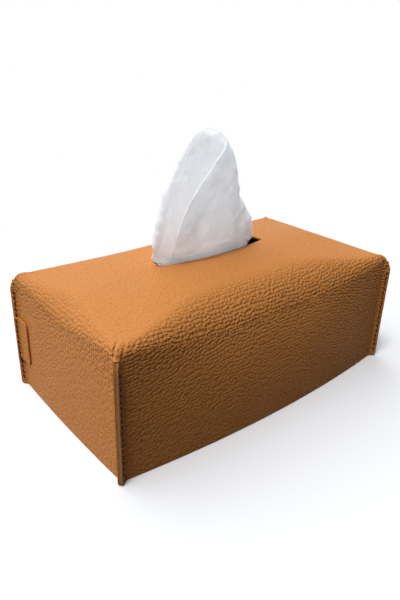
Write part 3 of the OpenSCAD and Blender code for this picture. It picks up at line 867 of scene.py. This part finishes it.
# The raised tissue: one sheet, doubled over at its left rim and rolled like a cornet, whose
# right side folds over the front. Heights are shares of the rise above the slot, outlines are
# shares of its width in the slot, and the roll starts at its rim angle and ends at its fold.
tissue = {
    "rise": 86.5, "width": 78.5, "pinch": 3.4, "depth": 23, "gap": 0.5, "sheet": 0.14,
    "heights": (0, 0.03, 0.08, 0.15, 0.23, 0.32, 0.42, 0.53, 0.64, 0.74, 0.83, 0.9, 0.95, 0.98, 1),
    "left": (-0.6, -0.645, -0.665, -0.675, -0.67, -0.65, -0.61, -0.565, -0.515, -0.435, -0.375, -0.32,
             -0.26, -0.2, -0.14),
    "right": (0.45, 0.49, 0.51, 0.48, 0.44, 0.38, 0.31, 0.26, 0.23, 0.2, 0.17, 0.12, 0.05, -0.02, -0.09),
    "depths": (0.17, 0.3, 0.5, 0.68, 0.83, 0.94, 1, 0.98, 0.9, 0.8, 0.68, 0.56, 0.44, 0.3, 0.16),
    "rims": (194, 196, 200, 206, 209, 209, 206, 203, 200, 197, 194, 191, 189, 187, 186),
    "folds": (-141, -134, -132, -132, -132, -129, -125, -116, -104, -90, -66, -30, -10, -4, -2),
    "rimGrow": 0.8, "foldGrow": 1.05,
    "lowRows": 8, "rowSteps": 7, "across": 210, "turnCells": 6, "hemCells": 8,
    "foldTurn": 1.5, "hem": 0.07,
    # the inner ply lies inside the outer one, inset at its left edge and lower at its top
    "lapCells": 130, "lap": 0.7, "lapStart": 0.022, "lapEnd": 0.8,
    "lapDrop": 0.08, "lapFall": 0.26, "fallFrom": 0.4, "fallRun": 0.4, "fallRows": 9,
    "looseFrom": 6,  # the slot holds the sheet smooth below this height
    "freeRow": 3,  # up to this row, from 0, the sheet opens into its roll
    "crumple": 2.6, "crumpleWave": 15, "crumpleFloor": 0.15,
    "pleats": 13, "pleatDepth": 0.9, "pleatDrift": (2.2, 9), "pleatHeight": 4, "pleatRun": 22,
    "creaseDepth": 1.7, "creaseFade": 0.6,
    "unrolled": 1.6,  # length of the sheet round the roll, in widths
    # start and end as shares along the sheet and of the rise, then width and height
    "creases": (((0.93, 0.0), (0.88, 0.42), 2.2, 1.6), ((0.86, 0.0), (0.80, 0.30), 1.8, -1.2),
                ((0.69, 0.25), (0.84, 0.10), 2.2, 1.6), ((0.68, 0.14), (0.88, 0.02), 1.6, -1.3),
                ((0.69, 0.38), (0.84, 0.24), 2.2, 1.0), ((0.07, 0.0), (0.05, 0.26), 1.8, 0.7),
                ((0.13, 0.0), (0.10, 0.30), 1.8, -0.8), ((0.20, 0.0), (0.08, 0.20), 1.4, 0.8),
                ((0.34, 0.55), (0.30, 0.95), 2.5, 0.8), ((0.22, 0.40), (0.24, 0.80), 3.0, -0.8),
                ((0.66, 0.035), (0.99, 0.05), 1.6, 1.8)),
}
tissueLow, tissueHigh = (corner.z for corner in nodeBox("raised_tissue"))
slotTop = tissueHigh - tissue["rise"]


def rollPoint(u, s):
    n = max(0.0, u)
    angle = math.radians(mix(along(tissue["rims"], n), along(tissue["folds"], n), s))
    left, right = (tissue["width"] * along(tissue[k], n) for k in ("left", "right"))
    x = (left + right) / 2 + (right - left) / 2 * math.cos(angle)
    z = slotTop + tissue["rise"] * along(tissue["heights"], n) if u >= 0 else mix(slotTop, tissueLow, -u)
    free = ease((z - slotTop) / (tissue["rise"] * tissue["heights"][tissue["freeRow"]]))
    gathered = frontLip(x) + tissue["gap"] + tissue["pinch"] * (1 + math.sin(angle)) / 2
    rolled = (tissue["depth"] / 2 * along(tissue["depths"], n)
              * mix(tissue["rimGrow"], tissue["foldGrow"], s) * math.sin(angle))
    return Vector((x, mix(gathered, rolled, free), z))


def creaseHeight(s, t):
    height = 0.0
    for (s0, t0), (s1, t1), width, tall in tissue["creases"]:
        spot = Vector(((s - s0) * tissue["unrolled"] * tissue["width"], (t - t0) * tissue["rise"]))
        run = Vector(((s1 - s0) * tissue["unrolled"] * tissue["width"], (t1 - t0) * tissue["rise"]))
        share = clamp(spot.dot(run) / run.length_squared)
        gap = (spot - run * share).length / width
        height += tissue["creaseDepth"] * tall * math.exp(-gap) * (1 - tissue["creaseFade"] * share)
    return height


# A point of the sheet, its direction along the sheet, the way to the roll's inside, and how
# far pleats, creases and crumples push it that way
def sheetPoint(u, s):
    step = 0.004
    point = rollPoint(u, s)
    ahead = rollPoint(u, s + step) - rollPoint(u, s - step)
    ahead.z = 0
    ahead.normalize()
    up = point.z - slotTop
    loose = ease(up / tissue["looseFrom"])
    drift, pace = tissue["pleatDrift"]
    pleat = 0.5 + 0.5 * math.sin(2 * math.pi * tissue["pleats"] * s + drift * math.sin(pace * s))
    push = tissue["pleatDepth"] * pleat * math.exp(-((up - tissue["pleatHeight"]) / tissue["pleatRun"]) ** 2)
    push -= creaseHeight(s, clamp(up / tissue["rise"])) * loose
    for share in (1.0, 0.5):  # sharp valleys, as paper crumples
        ridge = abs(noise.noise(point / (tissue["crumpleWave"] * share)))
        push += loose * tissue["crumple"] * share * (ridge - tissue["crumpleFloor"])
    return point, ahead, Vector((ahead.y, -ahead.x, 0)), push


def sheetSpot(u, zone, share):
    if zone == "lap":
        fall = tissue["lapDrop"] + tissue["lapFall"] * ease((share - tissue["fallFrom"]) / tissue["fallRun"])
        point, ahead, inside, push = sheetPoint(u - max(0, u) * fall * ease(u / tissue["fallRows"]), share)
        return point + inside * (push + tissue["lap"])
    if zone == "outer":
        point, ahead, inside, push = sheetPoint(u, share)
        return point + inside * push
    if zone == "fold":
        point, ahead, inside, push = sheetPoint(u, 1.0)
        radius, turn = tissue["foldTurn"] / 2, math.pi * share
        return point + inside * (push + radius * (1 - math.cos(turn))) + ahead * radius * math.sin(turn)
    point, ahead, inside, push = sheetPoint(u, 1 - tissue["hem"] * share)
    return point + inside * (push + tissue["foldTurn"])


def makeTissue():
    top = len(tissue["heights"]) - 1
    rows = [-1 + i / tissue["lowRows"] for i in range(tissue["lowRows"])]
    rows += [i / tissue["rowSteps"] for i in range(top * tissue["rowSteps"] + 1)]
    lap, turn, hem = tissue["lapCells"], tissue["turnCells"], tissue["hemCells"]
    inner = [("lap", mix(tissue["lapStart"], tissue["lapEnd"], i / lap)) for i in range(lap + 1)]
    outer = [("outer", i / tissue["across"]) for i in range(tissue["across"] + 1)]
    outer += [("fold", (i + 0.5) / turn) for i in range(turn)]
    outer += [("hem", i / hem) for i in range(hem + 1)]
    bm = bmesh.new()
    for columns in (inner, outer):
        across = len(columns) - 1
        ply = bmesh.ops.create_grid(bm, x_segments=across, y_segments=len(rows) - 1, size=1)["verts"]
        for vert in ply:
            c = round((vert.co.x + 1) / 2 * across)
            k = round((vert.co.y + 1) / 2 * (len(rows) - 1))
            vert.co = sheetSpot(rows[k], *columns[c]) * mm
    piece = finishMesh("raised_sheet", bm, (paperFinish,))
    sheet = piece.modifiers.new("sheet", "SOLIDIFY")
    sheet.thickness = tissue["sheet"] * mm
    sheet.offset = 0
    settle(piece, "tissue", "raised_tissue")


makeTissue()
print("tissue raised")


# Studio: a pale floor, a bright backdrop behind the object and one soft lamp high on the left
studio = {
    "floor": "#f4f5f7", "bounce": "#52504f", "floorReach": 6000, "whiteFrom": 150, "whiteTo": 420,
    "front": "#c9d2de", "frontStrength": 0.05,
    "backdrop": "#f1f4fa", "backdropStrength": 1.7, "backdropWay": (-0.4, 0.88, 0.25), "backdropEdge": 0.6,
    "keyPlace": (-1000, -480, 2800), "keySize": 900, "keyPower": 54,  # watts
}


def seenRays(tree):
    path = addNode(tree, "ShaderNodeLightPath")
    seen = path.outputs["Is Camera Ray"]
    for name in ("Is Glossy Ray", "Is Transmission Ray"):
        seen = addNode(tree, "ShaderNodeMath", {0: seen, 1: path.outputs[name]},
                       operation="MAXIMUM").outputs[0]
    return seen


# Painted floor whose far part fades into the white backdrop
def paleFloor():
    material, tree, place = newMaterial("paleFloor")
    seen = seenRays(tree)
    colour = addNode(tree, "ShaderNodeMix", {0: seen, 6: hexColour(studio["bounce"]),
                                             7: hexColour(studio["floor"])}, data_type="RGBA")
    painted = addNode(tree, "ShaderNodeBsdfDiffuse", {"Color": colour.outputs[2]})
    away = addNode(tree, "ShaderNodeVectorMath", {0: place}, operation="LENGTH")
    far = addNode(tree, "ShaderNodeMapRange", {
        "Value": away.outputs["Value"], "From Min": studio["whiteFrom"] * mm,
        "From Max": studio["whiteTo"] * mm},
        interpolation_type="SMOOTHSTEP")
    both = addNode(tree, "ShaderNodeMath", {0: far.outputs[0], 1: seen}, operation="MULTIPLY")
    white = addNode(tree, "ShaderNodeEmission", {"Color": (1, 1, 1, 1), "Strength": 1.0})
    surface = addNode(tree, "ShaderNodeMixShader", {0: both.outputs[0], 1: painted.outputs[0],
                                                    2: white.outputs[0]})
    addNode(tree, "ShaderNodeOutputMaterial", {"Surface": surface.outputs[0]})
    return material


def makeWorld():
    world = bpy.data.worlds.new("surround")
    scene.world = world
    world.use_nodes = True
    tree = world.node_tree
    tree.nodes.clear()
    way = addNode(tree, "ShaderNodeTexCoord").outputs["Generated"]
    toBack = addNode(tree, "ShaderNodeVectorMath", {0: way, 1: studio["backdropWay"]},
                     operation="DOT_PRODUCT")
    share = addNode(tree, "ShaderNodeMapRange", {
        "Value": toBack.outputs["Value"], "From Min": 0.0, "From Max": studio["backdropEdge"]},
        interpolation_type="SMOOTHSTEP")
    front, back = (addNode(tree, "ShaderNodeBackground", {
        "Color": hexColour(studio[part]), "Strength": studio[part + "Strength"]})
        for part in ("front", "backdrop"))
    lit = addNode(tree, "ShaderNodeMixShader", {0: share.outputs[0], 1: front.outputs[0], 2: back.outputs[0]})
    white = addNode(tree, "ShaderNodeBackground", {"Color": (1, 1, 1, 1), "Strength": 1.0})
    both = addNode(tree, "ShaderNodeMixShader", {0: seenRays(tree), 1: lit.outputs[0], 2: white.outputs[0]})
    addNode(tree, "ShaderNodeOutputWorld", {"Surface": both.outputs[0]})


def makeLamp():
    data = bpy.data.lights.new("key", "AREA")
    data.shape = "DISK"
    data.size = studio["keySize"] * mm
    data.energy = studio["keyPower"]
    lamp = bpy.data.objects.new("key", data)
    lamp.location = Vector(studio["keyPlace"]) * mm
    lamp.rotation_euler = (-lamp.location).to_track_quat("-Z", "Y").to_euler()
    scene.collection.objects.link(lamp)


def makeFloor():
    bm = bmesh.new()
    bmesh.ops.create_grid(bm, x_segments=1, y_segments=1, size=studio["floorReach"] * mm)
    finishMesh("floor", bm, (paleFloor(),))


makeFloor()
makeWorld()
makeLamp()
print("studio lit")
